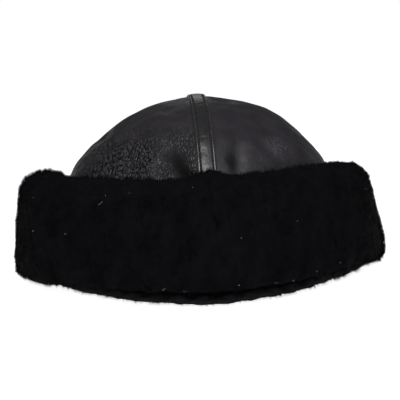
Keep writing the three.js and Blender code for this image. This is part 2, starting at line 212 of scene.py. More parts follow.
# The leather's grain
GRAIN_RADIUS = 98  # of the dome that its cells are laid out on, in millimetres
GRAIN_STRETCH = 0.4  # share of the distance up the dome that counts, which makes the cells longer that way
GRAIN_LEFT = (-1, 6)  # where the left side's grain starts to fade and has faded, in millimetres of X
GRAIN_HEIGHTS = (84, 108)  # the same up the dome, in millimetres above the floor
PATCH_PAINTED_HIGHLIGHT = 0.16  # how much lighter the leather is painted, as a highlight, where a patch of grain shows fully
PATCH_REACH = (0.2, 1.5)  # where a patch starts to fade and has faded, as shares of its radius
FOLD_ROUGHNESS = 0.35  # how much rougher the leather is in a full fold
FOLD_REACH = (0.3, 1.25)  # where a fold starts to fade and has faded, as shares of its half-width

# Places right of the strap where the grain shows through, painted a little lighter as a highlight: the
# middle and the radius in metres, and the strength
GRAIN_AND_HIGHLIGHT_PATCHES = [
    ((0.0505, -0.0675, 0.0885), 0.0095, 0.5),
    ((0.0570, -0.0645, 0.0835), 0.0085, 0.4),
    ((0.0290, -0.0810, 0.0885), 0.0075, 0.3),
    ((0.0370, -0.0815, 0.0815), 0.0065, 0.35),
]

# Folds where the leather is drawn smooth and dull, and its colour is painted dark as shade: the middle,
# half-width and half-height in metres, and the share of the grain and the colour that the fold takes away
PAINTED_SHADE_FOLDS = [
    ((-0.0198, -0.0815, 0.0872), 0.0075, 0.0065, 0.65),
    ((-0.0176, -0.0834, 0.0848), 0.0060, 0.0060, 0.9),
    ((-0.0150, -0.0862, 0.0813), 0.0066, 0.0075, 0.9),
    ((-0.0128, -0.0890, 0.0775), 0.0058, 0.0075, 0.9),
    ((0.0160, -0.0905, 0.0800), 0.0042, 0.0120, 0.8),
    ((0.0180, -0.0885, 0.0870), 0.0040, 0.0140, 0.7),
]

# Camera, fitted to the photograph's outline of the cap
CAMERA_PLACE = (-0.0458, -0.7486, 0.136)
CAMERA_HEADING = 3.66  # degrees to the right of +Y
CAMERA_PITCH = 6.68  # degrees down
CAMERA_ROLL = 2.95  # degrees that the picture is turned counter-clockwise
LENS = 95.8  # millimetres
SENSOR = 36  # millimetres
PICTURE = 400  # pixels a side

# Lights: the name, the azimuth from the front and the elevation in degrees, the distance and the side in
# metres, and the power in watts
SOFTBOXES = [
    ("key", -20, 71, 1.3, 0.5, 14),
    ("left", -42, 50, 1.3, 0.5, 5.5),
    ("right", 46, 52, 1.3, 0.5, 9),
    ("back", 178, 24, 1.4, 0.25, 0.25),
    ("low", 8, 3, 1.5, 0.5, 3),
]
LIGHT_AIM = (0, 0, 0.06)  # the cap's middle
HORIZON_TOP = 0.085  # rise of a direction, as a share of its length, up to which the room is white
CEILING_FROM = 0.11  # the rise from which it is dim
HORIZON_LIGHT = 1.02
CEILING_LIGHT = 0.06
FLOOR_HALF = 6.0  # half of each side, in metres
FLOOR_LIGHT = 0.97

# The frame's middle, which the part's own millimetres are measured from
right_low, right_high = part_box("crown_right")
ORIGIN = Vector((right_low.x - SEAM_GAP / 2 * MM, (right_low.y + right_high.y) / 2, 0))


def smoothstep(value, low, high):
    share = np.clip((value - low) / (high - low), 0, 1)
    return share * share * (3 - 2 * share)


def eased(rows, position):
    """The table's value at each position, eased between its rows."""
    places, values = np.array(rows, float).T
    index = np.clip(np.searchsorted(places, position, side="right") - 1, 0, len(places) - 2)
    share = smoothstep(position, places[index], places[index + 1])
    return values[index] + (values[index + 1] - values[index]) * share


def unit(vectors):
    return vectors / np.maximum(np.linalg.norm(vectors, axis=-1, keepdims=True), 1e-12)


def waves(points, wavelength, seed, count=7):
    """A smoothly wandering value about zero at each point, from sine waves in seeded directions."""
    rng = np.random.default_rng(seed)
    total = np.zeros(points.shape[:-1])
    for _ in range(count):
        direction = unit(rng.normal(size=3))
        turns = points @ direction / (wavelength * rng.uniform(0.7, 1.5))
        total += np.sin(2 * np.pi * (turns + rng.uniform()))
    return total / math.sqrt(count)


def relief(points, rows):
    """The heights of a table of waves, added up at each point."""
    total = 0
    for height, wavelength, seed in rows:
        total = total + height * waves(points, wavelength, seed)
    return total


def placed(points):
    """Points of the part in millimetres, as metres in the frame."""
    return np.asarray(points) * MM + np.array(ORIGIN)


# The crown's form

def dome_point(azimuth, tilt):
    fullness = eased(DOME_FULLNESS, np.degrees(tilt))
    point = np.stack(
        [
            WALL_X * np.cos(azimuth) * np.sin(tilt),
            WALL_Y * np.sin(azimuth) * np.sin(tilt),
            DOME_HEIGHT * np.cos(tilt),
        ],
        axis=-1,
    )
    return point * fullness[..., None] + (0, 0, WALL_TOP)


def dent_depth(points):
    """How far the dents sink the leather at each point, in millimetres."""
    depth = np.zeros(points.shape[:-1])
    for at, tilt, across, along, deep, lean in CROWN_DENTS:
        azimuth, down, turn = np.radians([at, tilt, lean])
        middle = dome_point(azimuth, np.array(down))
        level = np.array([-np.sin(azimuth), np.cos(azimuth), 0])
        upward = unit(dome_point(azimuth, np.array(down - 0.01)) - middle)
        away = points - middle
        sideways = away @ (level * np.cos(turn) + upward * np.sin(turn)) / (across * WALL_X)
        upwards = away @ (upward * np.cos(turn) - level * np.sin(turn)) / (along * WALL_X)
        depth += deep * WALL_X * np.exp(-sideways * sideways - upwards * upwards)
    return depth


def slack(points):
    """Small waves of the soft leather between its dents, and puckers drawn in along the strap's seam."""
    beside = np.abs(points[..., 0]) - STRAP_WIDTH / 2
    drawn_in = np.exp(-np.maximum(beside, 0) / PUCKER_REACH)
    puckers = relief(points * (0.3, 1, 1), SEAM_PUCKERS) * drawn_in
    low = smoothstep(points[..., 2], WALL_TOP, WALL_TOP + SLACK_START)
    return (relief(points, LEATHER_SLACK) + puckers) * low


def seam_x(height):
    """How far right of the cap's middle the seam is at a height."""
    return CROWN_LEAN * np.maximum(0, height - WALL_TOP) / DOME_HEIGHT


def crown_point(azimuth, rise, soft=True):
    """The crown's outer face. rise is 1 at the top, 0 at the wall's top, and -1 at its lower edge."""
    azimuth, rise = np.broadcast_arrays(np.asarray(azimuth, float), np.asarray(rise, float))
    tilt = (1 - np.maximum(rise, 0)) * np.pi / 2
    point = dome_point(azimuth, tilt)
    edge = eased(HEM_LIFT, np.degrees(azimuth) % 360) + ROLL_TOP + SEAT
    point[..., 2] += np.minimum(rise, 0) * (WALL_TOP - edge)
    clear = smoothstep(np.abs(point[..., 0]), STRAP_WIDTH / 2, STRAP_WIDTH)
    depth = dent_depth(point) * clear
    if soft:
        depth += slack(point) * clear
    depth = np.where(rise > 0, depth, 0)
    inward = -(point - (0, 0, WALL_TOP)) / (WALL_X, WALL_Y, DOME_HEIGHT)
    point = point + unit(inward) * depth[..., None]
    point[..., 0] += seam_x(point[..., 2])
    return point


def crown_normal(azimuth, rise):
    step = 2e-3
    azimuth, rise = np.broadcast_arrays(np.asarray(azimuth, float), np.asarray(rise, float))
    capped = np.minimum(rise, 1 - step)
    around = crown_point(azimuth + step, capped, False) - crown_point(azimuth - step, capped, False)
    up = crown_point(azimuth, capped + step, False) - crown_point(azimuth, capped - step, False)
    normal = unit(np.cross(around, up))
    wall = unit(np.stack([np.cos(azimuth) / WALL_X, np.sin(azimuth) / WALL_Y, 0 * azimuth], axis=-1))
    normal = np.where((rise <= step)[..., None], wall, normal)
    return np.where((rise > 1 - step)[..., None], (0.0, 0.0, 1.0), normal)


# Meshes and pieces

def mesh_from_arrays(name, points, faces):
    """A mesh from an array of points and an array of faces that all have the same number of corners."""
    mesh = bpy.data.meshes.new(name)
    corners = faces.shape[1]
    mesh.vertices.add(len(points))
    mesh.vertices.foreach_set("co", np.ascontiguousarray(points, np.float32).ravel())
    mesh.loops.add(faces.size)
    mesh.loops.foreach_set("vertex_index", np.ascontiguousarray(faces, np.int32).ravel())
    mesh.polygons.add(len(faces))
    mesh.polygons.foreach_set("loop_start", np.arange(0, faces.size, corners, dtype=np.int32))
    mesh.polygons.foreach_set("use_smooth", np.ones(len(faces), bool))
    mesh.update(calc_edges=True)
    return mesh


def piece(name, mesh, materials, replaces=()):
    """A shown piece of the cap, which rides on the frame's body."""
    for material in materials:
        mesh.materials.append(material)
    shown = bpy.data.objects.new(name, mesh)
    bpy.context.scene.collection.objects.link(shown)
    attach(shown, BODY)
    if replaces:
        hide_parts(*replaces)
    return shown


def grid_faces(rows, columns, wrap=False):
    """Quads between the points of a grid, whose last column meets the first where wrap is true."""
    i, j = np.meshgrid(np.arange(rows - 1), np.arange(columns if wrap else columns - 1), indexing="ij")
    after = (j + 1) % columns
    row, above = i * columns, (i + 1) * columns
    quads = np.stack([row + j, row + after, above + after, above + j], -1)
    return quads.reshape(-1, 4)


def welded(mesh, distance=1e-6):
    """Joins the corners of a mesh that meet, and turns its faces outward."""
    body = bmesh.new()
    body.from_mesh(mesh)
    bmesh.ops.remove_doubles(body, verts=body.verts, dist=distance)
    bmesh.ops.recalc_face_normals(body, faces=body.faces)
    body.to_mesh(mesh)
    body.free()
    return mesh


def crown_panel(name, start, side, node, materials):
    """One half of the crown over half a turn from start, with its grain side, flesh side and cut edges."""
    share = np.linspace(0, 1, PANEL_COLUMNS + 1)
    share = share - COLUMN_GATHER * np.sin(2 * np.pi * share) / (2 * np.pi)
    azimuth = (start + share * np.pi)[None, :]
    rise = np.concatenate([np.linspace(-1, 0, WALL_ROWS, endpoint=False), np.linspace(0, 1, DOME_ROWS + 1)])
    rise = rise[:, None]
    outer = crown_point(azimuth, rise)
    inner = crown_point(azimuth, rise, False) - crown_normal(azimuth, rise) * LEATHER_WALL
    for skin in (outer, inner):
        for column in (0, -1):
            skin[:, column, 0] = seam_x(skin[:, column, 2])
        skin[-1, :, 0] = seam_x(skin[-1, :, 2])
        skin[-1, :, 1] = 0
        skin[..., 0] += side * SEAM_GAP / 2
    rows, columns = len(rise), PANEL_COLUMNS + 1
    faces = grid_faces(rows, columns)
    count = rows * columns
    rim = np.concatenate(
        [
            np.arange(columns),
            columns * np.arange(1, rows) + columns - 1,
            columns * (rows - 1) + np.arange(columns - 2, -1, -1),
            columns * np.arange(rows - 2, 0, -1),
        ]
    )
    after = np.roll(rim, -1)
    edge = np.stack([rim, rim + count, after + count, after], -1)
    points = placed(np.concatenate([outer.reshape(-1, 3), inner.reshape(-1, 3)]))
    mesh = mesh_from_arrays(name, points, np.concatenate([faces, faces[:, ::-1] + count, edge]))
    flesh = np.zeros(len(mesh.polygons), np.int32)
    flesh[len(faces):] = 1
    mesh.polygons.foreach_set("material_index", flesh)
    return piece(name, welded(mesh), materials, (node,))


def strap_line(stations):
    """Stations from the front edge over the top to the back edge.

    They are the middle, the normal, the distance along and the radius of the crown's curve across.
    """
    rise = np.linspace(-1, 1, stations + 1)
    azimuth = np.concatenate([np.full(stations + 1, -np.pi / 2), np.full(stations, np.pi / 2)])
    rise = np.concatenate([rise, rise[-2::-1]])
    middle = crown_point(azimuth, rise, False)
    along = np.concatenate([[0], np.cumsum(np.linalg.norm(np.diff(middle, axis=0), axis=1))])
    tilt = (1 - np.maximum(rise, 0)) * np.pi / 2
    bend = WALL_X**2 * np.hypot(np.sin(tilt) / WALL_Y, np.cos(tilt) / DOME_HEIGHT)
    return middle, crown_normal(azimuth, rise), along, bend


def strap_rise(across, along):
    """The strap's upper face above the crown: a full middle, two sewn-down lines and two rolled edges."""
    side = np.abs(across) / (STRAP_WIDTH / 2)
    sewn = np.exp(-(((side - STITCH_LINE) / SEWN_HALF) ** 2))
    hole = 0.5 + 0.5 * np.cos(2 * np.pi * along / STITCH_PITCH)
    rise = STRAP_THICKNESS * (STRAP_FULLNESS - STRAP_FALL * side**2)
    rise = rise - sewn * (SEWN_DEPTH + HOLE_DEPTH * hole)
    roll = np.clip((side - (1 - ROLLED_EDGE)) / ROLLED_EDGE, 0, 1)
    rise = rise * np.sqrt(1 - EDGE_DROP * roll**2)
    for place, reach, middle in STRAP_CREASES:
        crease = ((along - place) / CREASE_HALF) ** 2 + ((across - middle) / reach) ** 4
        rise -= CREASE_DEPTH * np.exp(-crease)
    inside = np.exp(-((side / RIPPLE_HALF) ** 4))
    ripple = relief(np.stack([0.25 * across, along, 0 * along], -1), STRAP_RIPPLE)
    return rise + ripple * inside


def strap_point(across, along_index, height, line):
    """A point over the crown's middle line, across and height in millimetres."""
    middle, normal, _, bend = line
    drop = across**2 / (2 * bend[along_index])
    point = middle[along_index] + np.stack([across, 0 * across, 0 * across], -1)
    return point + normal[along_index] * (SEAT + height - drop)[..., None]


def strap(line, materials):
    """The strap over the middle seam, with its sewn lines and rolled edges in materials of their own."""
    along = line[2]
    half = STRAP_WIDTH / 2
    across = half * np.sin(np.linspace(-np.pi / 2, np.pi / 2, STRAP_SIDES))
    index = np.arange(len(along))[:, None] + np.zeros(STRAP_SIDES, int)[None, :]
    over = across[None, :] + np.zeros(len(along))[:, None]
    upper = strap_point(over, index, strap_rise(over, along[:, None] + 0 * over), line)
    lower = strap_point(over[:, ::-1], index, 0 * over, line)
    rings = np.concatenate([upper, lower], axis=1)
    rows, columns = rings.shape[:2]
    faces = grid_faces(rows, columns, wrap=True)
    mesh = mesh_from_arrays("strap_leather", placed(rings.reshape(-1, 3)), faces)
    between = np.abs(across[1:] + across[:-1]) / 2 / half
    zone = np.zeros((rows - 1, columns), np.int32)
    zone[:, : STRAP_SIDES - 1] = np.where(between > STITCH_LINE, 2, 0)
    zone[:, : STRAP_SIDES - 1][:, np.abs(between - STITCH_LINE) < SEWN_HALF] = 1
    mesh.polygons.foreach_set("material_index", zone.ravel())
    body = bmesh.new()
    body.from_mesh(mesh)
    body.verts.ensure_lookup_table()
    for row in (0, rows - 1):
        body.faces.new([body.verts[row * columns + k] for k in range(columns)])
    body.to_mesh(mesh)
    body.free()
    return piece("strap_leather", welded(mesh), materials, ("seam_strap",))


def thread_rings(middle, side, normal, radius, sides):
    """A ring of corners about each point of a thread's middle line."""
    turn = np.arange(sides) / sides * 2 * np.pi
    side, normal = (np.broadcast_to(axis, middle.shape)[:, None] for axis in (side, normal))
    level = np.cos(turn)[None, :, None] * radius[:, None, None] * side
    upward = np.sin(turn)[None, :, None] * radius[:, None, None] * normal
    return (middle[:, None] + level + upward).reshape(-1, 3)


def strap_stitches(line, material):
    """Two rows of short threads, each laid over its sewn line with both ends drawn in."""
    sides, rings = 7, 7
    along = line[2]
    starts = np.arange(STITCH_PITCH / 2, along[-1] - STITCH_PITCH, STITCH_PITCH)
    share = np.linspace(-1, 1, rings)
    points, faces = [], []
    pattern = grid_faces(rings, sides, wrap=True)
    for side in (-1, 1):
        across = side * STITCH_LINE * STRAP_WIDTH / 2
        for start in starts:
            place = start + STITCH_PITCH / 2 + share * STITCH_LENGTH / 2
            index = np.clip(np.searchsorted(along, place), 1, len(along) - 1)
            blend = ((place - along[index - 1]) / (along[index] - along[index - 1]))[:, None]
            level = np.full(rings, across)
            lift = strap_rise(level, place) + STITCH_LIFT - STITCH_DIP * share**4
            low = strap_point(level, index - 1, lift, line)
            high = strap_point(level, index, lift, line)
            middle = low + (high - low) * blend
            radius = THREAD_RADIUS * np.sqrt(np.maximum(1 - share**6, 0.05))
            faces.append(pattern + len(points) * rings * sides)
            points.append(thread_rings(middle, (1.0, 0, 0), unit(line[1][index]), radius, sides))
    mesh = mesh_from_arrays("strap_stitches", placed(np.concatenate(points)), np.concatenate(faces))
    body = bmesh.new()
    body.from_mesh(mesh)
    bmesh.ops.holes_fill(body, edges=[e for e in body.edges if e.is_boundary])
    body.to_mesh(mesh)
    body.free()
    return piece("strap_stitches", welded(mesh), [material])


# Fur

def surface_tree(mesh):
    return BVHTree.FromPolygons([v.co for v in mesh.vertices], [p.vertices for p in mesh.polygons])


def fur_surface(node, voxel, rounds):
    """The fur's outer surface: the node's solid, rounded off, as a mesh, points and normals in metres."""
    solid = frame["nodes"][node].data
    copy = bpy.data.objects.new("fur_copy", solid.copy())
    bpy.context.scene.collection.objects.link(copy)
    remesh = copy.modifiers.new("remesh", "REMESH")
    remesh.mode = "VOXEL"
    remesh.voxel_size = voxel * MM
    smooth = copy.modifiers.new("smooth", "SMOOTH")
    smooth.factor = 0.5
    smooth.iterations = rounds
    depsgraph = bpy.context.evaluated_depsgraph_get()
    mesh = bpy.data.meshes.new_from_object(copy.evaluated_get(depsgraph))
    bpy.data.objects.remove(copy)
    tree = surface_tree(solid)
    for vertex in mesh.vertices:
        near, normal, _, _ = tree.find_nearest(vertex.co)
        sunk = (near - vertex.co).dot(normal)
        if sunk > 0:
            vertex.co += normal * sunk * KEPT_CORNERS
    mesh.update()
    count = len(mesh.vertices)
    points = np.empty(count * 3, np.float32)
    normals = np.empty(count * 3, np.float32)
    mesh.vertices.foreach_get("co", points)
    mesh.vertex_normals.foreach_get("vector", normals)
    return mesh, points.reshape(-1, 3).astype(float), normals.reshape(-1, 3).astype(float)


def outward_from_crown(points):
    """The level direction away from the crown's wall, and how far out from it each point is, in metres."""
    local = points - np.array(ORIGIN)
    x = local[:, 0] - seam_x(local[:, 2] / MM) * MM
    y = local[:, 1]
    share = np.hypot(x / (WALL_X * MM), y / (WALL_Y * MM))
    direction = unit(np.stack([x / WALL_X**2, y / WALL_Y**2, 0 * x], -1))
    return direction, (1 - 1 / share) * np.hypot(x, y)


def hide_piece(name, mesh, points, normals, material, node):
    """The matted underfur that shows between the fibres: the fur's surface, sunk a little under it."""
    depth = HIDE_DEPTH + relief(points / MM, HIDE_WAVES)
    sunk = points - normals * (depth * MM)[:, None]
    mesh.vertices.foreach_set("co", sunk.astype(np.float32).ravel())
    mesh.polygons.foreach_set("use_smooth", np.ones(len(mesh.polygons), bool))
    mesh.materials.clear()
    mesh.update()
    return piece(name, mesh, [material], (node,))


def fibres(points, normals, each, seed):
    """Closed spikes in tufts, one tuft of so many near each point: arrays of corner points and of faces."""
    rng = np.random.default_rng(seed)
    tangent = unit(np.cross(normals, rng.normal(size=normals.shape)))
    other = np.cross(normals, tangent)
    spread = FUR_VOXEL * TUFT_REACH * MM
    jitter = rng.uniform(-0.5, 0.5, (len(points), 2, 1)) * FUR_VOXEL * MM
    centre = points + tangent * jitter[:, 0] + other * jitter[:, 1]
    combed = np.stack([waves(points / MM, COMBED_LENGTH, seed + k) for k in range(3)], -1) * COMBED_LEAN
    own = rng.normal(size=points.shape) * OWN_LEAN
    lean = (combed + own) * PILE_DEPTH * MM
    tall = relief(points / MM, PILE_WAVES) + rng.uniform(*TUFT_CHANCE, len(points))
    for place, radius, extra in FULLER_PILE:
        tall += extra * np.exp(-(np.linalg.norm(points / MM - place, axis=1) / radius) ** 2)
    clear = TIP_CLEARANCE + HEM_RISE * np.clip(HEM_MIDDLE + relief(points / MM, HEM_WAVES), 0, 1)

    # Each tuft's values are now taken for each of its fibres
    tufts = (tangent, other, centre, normals, lean, tall, clear)
    repeated = (np.repeat(values, each, axis=0) for values in tufts)
    tangent, other, centre, up, lean, tall, clear = repeated
    total = each * len(points)
    angle = rng.uniform(0, 2 * np.pi, total)
    radius = spread * np.sqrt(rng.uniform(0, 1, total))
    ray = tangent * (np.cos(angle) * radius)[:, None] + other * (np.sin(angle) * radius)[:, None]
    root = centre + ray - up * (PILE_DEPTH * MM)
    stray = STRAY_LENGTH * (rng.uniform(0, 1, total) < STRAY_SHARE)
    reach = PILE_SWELL + tall + stray - ROUNDED_TUFT * (radius / spread) ** 2
    reach = (reach + rng.uniform(-TIP_CHANCE, TIP_CHANCE, total)) * MM
    tip = centre + ray * (1 - TUFT_GATHER) + lean + up * reach[:, None]
    tip += rng.normal(size=tip.shape) * TIP_CHANCE * MM
    tip[:, 2] = np.maximum(tip[:, 2], clear * MM)
    root[:, 2] = np.maximum(root[:, 2], ROOT_CLEARANCE * MM)
    return spikes(root, tip, rng.uniform(0, 2 * np.pi, total))


def spikes(root, tip, twist):
    """Closed spikes with three corners round each root: arrays of corner points and of faces."""
    axis = unit(tip - root)
    first = unit(np.cross(axis, np.array([0.3, 0.5, 0.8])))
    second = np.cross(axis, first)
    corners = [tip]
    for third in range(3):
        angle = twist + third * 2 * np.pi / 3
        ring = first * np.cos(angle)[:, None] + second * np.sin(angle)[:, None]
        corners.append(root + ring * (FIBRE_WIDTH / 2 * MM))
    corners = np.stack(corners, 1).reshape(-1, 3)
    pattern = np.array([[0, 1, 2], [0, 2, 3], [0, 3, 1], [1, 3, 2]])
    faces = (np.arange(len(root))[:, None, None] * 4 + pattern[None]).reshape(-1, 3)
    return corners, faces


def pile_pieces(name, points, normals, each, sectors, material, seed):
    """The fur's fibres in sectors round the cap, each a piece of its own."""
    azimuth = np.arctan2(points[:, 1], points[:, 0]) % (2 * np.pi)
    sector = (azimuth / (2 * np.pi) * sectors).astype(int)
    for number in range(sectors):
        chosen = sector == number
        corners, faces = fibres(points[chosen], normals[chosen], each, seed + number)
        mesh = mesh_from_arrays(f"{name}_{number + 1}", corners, faces)
        piece(mesh.name, mesh, [material])


def camera_axes():
    """The camera's forward direction, and the picture's right and up."""
    heading, pitch, roll = (math.radians(x) for x in (CAMERA_HEADING, CAMERA_PITCH, CAMERA_ROLL))
    forward = Vector(
        (math.sin(heading) * math.cos(pitch), math.cos(heading) * math.cos(pitch), -math.sin(pitch))
    )
    right = Vector((math.cos(heading), -math.sin(heading), 0))
    up = right.cross(forward)
    across = right * math.cos(roll) - up * math.sin(roll)
    upward = right * math.sin(roll) + up * math.cos(roll)
    return forward, across, upward


def pixel_ray(x, y):
    """The direction in which the photograph's camera sees a pixel."""
    forward, across, upward = camera_axes()
    focal = LENS / SENSOR * PICTURE
    return forward * focal + across * (x - PICTURE / 2) - upward * (y - PICTURE / 2)


def lint(tree, material):
    """Short bent threads that lie in the tips of the cuff's pile, with both ends drawn in."""
    rings, sides = 7, 4
    share = np.linspace(-1, 1, rings)
    pattern = grid_faces(rings, sides, wrap=True)
    points, faces = [], []
    for number, (x, y, length, heading, bend, thick) in enumerate(LINT):
        direction = pixel_ray(x, y).normalized()
        place, normal, _, _ = tree.ray_cast(Vector(CAMERA_PLACE), direction)
        level = unit(np.cross((0, 0, 1), normal))
        upward = np.cross(normal, level)
        angle = np.radians(heading + share * bend / 2)
        step = level * np.cos(angle)[:, None] + upward * np.sin(angle)[:, None]
        course = np.cumsum(step, axis=0) * length / rings
        course -= course[rings // 2]
        lift = PILE_SWELL + LINT_LIFT - LINT_DIP * share**4
        middle = np.array(place) + (course + np.array(normal) * lift[:, None]) * MM
        side = unit(np.cross(step, normal))
        radius = thick * np.sqrt(1 - 0.8 * share**4) * MM
        points.append(thread_rings(middle, side, np.array(normal), radius, sides))
        faces.append(pattern + number * rings * sides)
        ends = np.array([range(sides - 1, -1, -1), range((rings - 1) * sides, rings * sides)])
        faces.append(ends + number * rings * sides)
    mesh = mesh_from_arrays("cuff_lint", np.concatenate(points), np.concatenate(faces))
    return piece("cuff_lint", mesh, [material])


# Materials

class Shader:
    """A material's node tree, with one call per node."""

    def __init__(self, name):
        self.material = bpy.data.materials.new(name)
        self.material.use_nodes = True
        self.tree = self.material.node_tree
        self.surface = self.tree.nodes["Principled BSDF"]
        self.place = self.tree.nodes.new("ShaderNodeTexCoord").outputs["Object"]

    def node(self, kind, inputs=None, **settings):
        made = self.tree.nodes.new("ShaderNode" + kind)
        for key, value in settings.items():
            setattr(made, key, value)
        for key, value in (inputs or {}).items():
            self.feed(made.inputs[key], value)
        return made

    def feed(self, socket, value):
        if isinstance(value, bpy.types.NodeSocket):
            self.tree.links.new(value, socket)
        else:
            socket.default_value = value

    def set(self, **inputs):
        for key, value in inputs.items():
            self.feed(self.surface.inputs[key.replace("_", " ")], value)

    def math(self, operation, first, second=0.0, third=0.0):
        return self.node("Math", {0: first, 1: second, 2: third}, operation=operation).outputs[0]

    def vector(self, operation, first, second=(0, 0, 0), output="Vector"):
        return self.node("VectorMath", {0: first, 1: second}, operation=operation).outputs[output]

    def scaled(self, scale, place):
        return self.node("Mapping", {"Vector": place, "Scale": scale}).outputs[0]

    def noise(self, size, detail=3.0, place=None, output="Fac"):
        """Noise with features of about the given size in millimetres, from 0 to 1."""
        inputs = {"Vector": place or self.place, "Scale": 1 / (size * MM), "Detail": detail}
        return self.node("TexNoise", inputs).outputs[output]

    def cell_edges(self, size, place, randomness=0.85):
        """The distance from the edges between cells of the given size in millimetres, as a share of it."""
        inputs = {"Vector": place, "Scale": 1 / (size * MM), "Randomness": randomness}
        return self.node("TexVoronoi", inputs, feature="DISTANCE_TO_EDGE").outputs["Distance"]

    def between(self, value, low, high, to_low=0.0, to_high=1.0):
        inputs = {"Value": value, "From Min": low, "From Max": high}
        inputs |= {"To Min": to_low, "To Max": to_high}
        return self.node("MapRange", inputs, interpolation_type="SMOOTHSTEP").outputs[0]

    def mixed(self, share, first, second):
        made = self.node("Mix", data_type="RGBA")
        self.feed(made.inputs["Factor"], share)
        self.feed(made.inputs["A"], (*first, 1))
        self.feed(made.inputs["B"], (*second, 1))
        return made.outputs["Result"]

    def over_the_dome(self):
        """Distances in metres round the dome and, shortened, up it. They meet under the strap's back."""
        away = self.vector("SUBTRACT", self.place, (0, 0, WALL_TOP * MM))
        parts = self.node("SeparateXYZ", {"Vector": self.vector("NORMALIZE", away)}).outputs
        azimuth = self.math("ARCTAN2", parts["X"], self.math("MULTIPLY", parts["Y"], -1.0))
        tilt = self.math("ARCCOSINE", parts["Z"])
        around = self.math("MULTIPLY", azimuth, GRAIN_RADIUS * MM)
        up = self.math("MULTIPLY", tilt, GRAIN_RADIUS * GRAIN_STRETCH * MM)
        return self.node("CombineXYZ", {"X": around, "Y": up}).outputs[0]

    def bump(self, height, depth, normal=None):
        """Relief of the given depth in millimetres where height goes from 0 to 1."""
        inputs = {"Height": height, "Distance": depth * MM, "Strength": 1.0}
        if normal:
            inputs["Normal"] = normal
        return self.node("Bump", inputs).outputs["Normal"]

    def warped(self, size, amount, place):
        """The place, moved by noise of a size by up to an amount, both in millimetres."""
        centred = self.vector("SUBTRACT", self.noise(size, 2.0, place, "Color"), (0.5, 0.5, 0.5))
        moved = self.vector("MULTIPLY", centred, (amount * 2 * MM,) * 3)
        return self.vector("ADD", moved, place)


def grain_and_highlight_patches(shader):
    """How strongly the grain and its painted highlight show at the places of the table of patches, and 0
    away from them.
    """
    shown = 0.0
    for middle, radius, strength in GRAIN_AND_HIGHLIGHT_PATCHES:
        away = shader.vector("DISTANCE", shader.place, middle, "Value")
        inner, outer = (share * radius for share in PATCH_REACH)
        here = shader.between(away, inner, outer, strength, 0.0)
        shown = shader.math("MAXIMUM", shown, here)
    return shown


def painted_shade_folds(shader):
    """How far the leather is folded, with its colour painted dark as shade, at the places of the table of
    folds, and 0 away from them.
    """
    fold_shade = 0.0
    for middle, wide, high, taken in PAINTED_SHADE_FOLDS:
        away = shader.vector("SUBTRACT", shader.place, middle)
        shares = shader.scaled((1 / wide, 1 / wide, 1 / high), away)
        reach = shader.vector("LENGTH", shares, output="Value")
        fold_shade = shader.math("MAXIMUM", fold_shade, shader.between(reach, *FOLD_REACH, taken, 0.0))
    return fold_shade


def leather(name, dark, light, cell, grain, roughness, gloss):
    """Black leather: pebbled cells with fine creases between them, the tops painted lighter as glints and
    the creases darker as shade, fading out up the dome, away from the cap's lower left and its patches, and
    in the folds.

    cell is the cells' size and grain the depth of their relief, both in millimetres.
    """
    shader = Shader(name)
    place = shader.warped(4.5, 0.7, shader.over_the_dome())
    pebble = shader.between(shader.cell_edges(cell, place), 0.03, 0.34)
    wrinkle = shader.noise(cell * 1.8, 2.0, place)
    parts = shader.node("SeparateXYZ", {"Vector": shader.place}).outputs
    shown = grain_and_highlight_patches(shader)
    fold_shade = painted_shade_folds(shader)
    outside_fold_shade = shader.math("SUBTRACT", 1.0, fold_shade)

    # The grain shows low on the cap's left and in the patches, and not in the folds
    left = shader.between(parts["X"], *(x * MM for x in GRAIN_LEFT), 1.0, 0.12)
    low = shader.between(parts["Z"], *(z * MM for z in GRAIN_HEIGHTS), 1.0, 0.1)
    broad = shader.between(shader.noise(22, 2.0), 0.35, 0.6, 0.6, 1.0)
    patch = shader.math("MULTIPLY", broad, shader.math("MAXIMUM", left, shown))
    patch = shader.math("MULTIPLY", shader.math("MULTIPLY", patch, low), outside_fold_shade)
    height = shader.math("MULTIPLY", shader.math("MULTIPLY_ADD", wrinkle, 0.3, pebble), patch)
    normal = shader.bump(shader.noise(7, 3.0), 0.35)

    # The cells' tops are painted lighter, as glints, and the creases between them darker, as painted shade
    glint_and_crease_shade = shader.math("MULTIPLY", shader.math("SUBTRACT", pebble, 0.33), patch)
    hide = shader.between(shader.noise(11, 4.0), 0.3, 0.75, 0.075, 0.115)
    share = shader.math("MULTIPLY_ADD", glint_and_crease_shade, 0.5, hide)
    # The patches are painted lighter, as a highlight
    share = shader.math("MULTIPLY_ADD", shown, PATCH_PAINTED_HIGHLIGHT, share)
    uneven = shader.between(shader.noise(5, 4.0), 0.3, 0.7, roughness - 0.05, roughness + 0.07)
    shader.set(
        # In the folds the colour is painted darker, as shade
        Base_Color=shader.mixed(shader.math("MULTIPLY", share, outside_fold_shade), dark, light),
        Roughness=shader.math("MULTIPLY_ADD", fold_shade, FOLD_ROUGHNESS, uneven),
        Specular_IOR_Level=gloss,
        Normal=shader.bump(height, grain, normal),
    )
    return shader.material


def sewn_line_painted_shade():
    """The strap's pressed line under its stitches: dull leather, painted darker as the shade in its groove.
    """
    shader = Shader("sewn_line_painted_shade")
    pressed = shader.noise(0.7, 3.0)
    shader.set(
        Base_Color=shader.mixed(pressed, (0.0014, 0.0013, 0.0015), (0.0028, 0.0026, 0.003)),
        Roughness=0.85,
        Specular_IOR_Level=0.06,
        Normal=shader.bump(pressed, 0.06),
    )
    return shader.material


def suede():
    """The leather's flesh side: a dull dark nap."""
    shader = Shader("flesh_side")
    nap = shader.noise(1.1, 5.0)
    shader.set(
        Base_Color=shader.mixed(nap, (0.018, 0.017, 0.017), (0.034, 0.032, 0.031)),
        Roughness=0.95,
        Specular_IOR_Level=0.1,
        Normal=shader.bump(nap, 0.25),
    )
    return shader.material


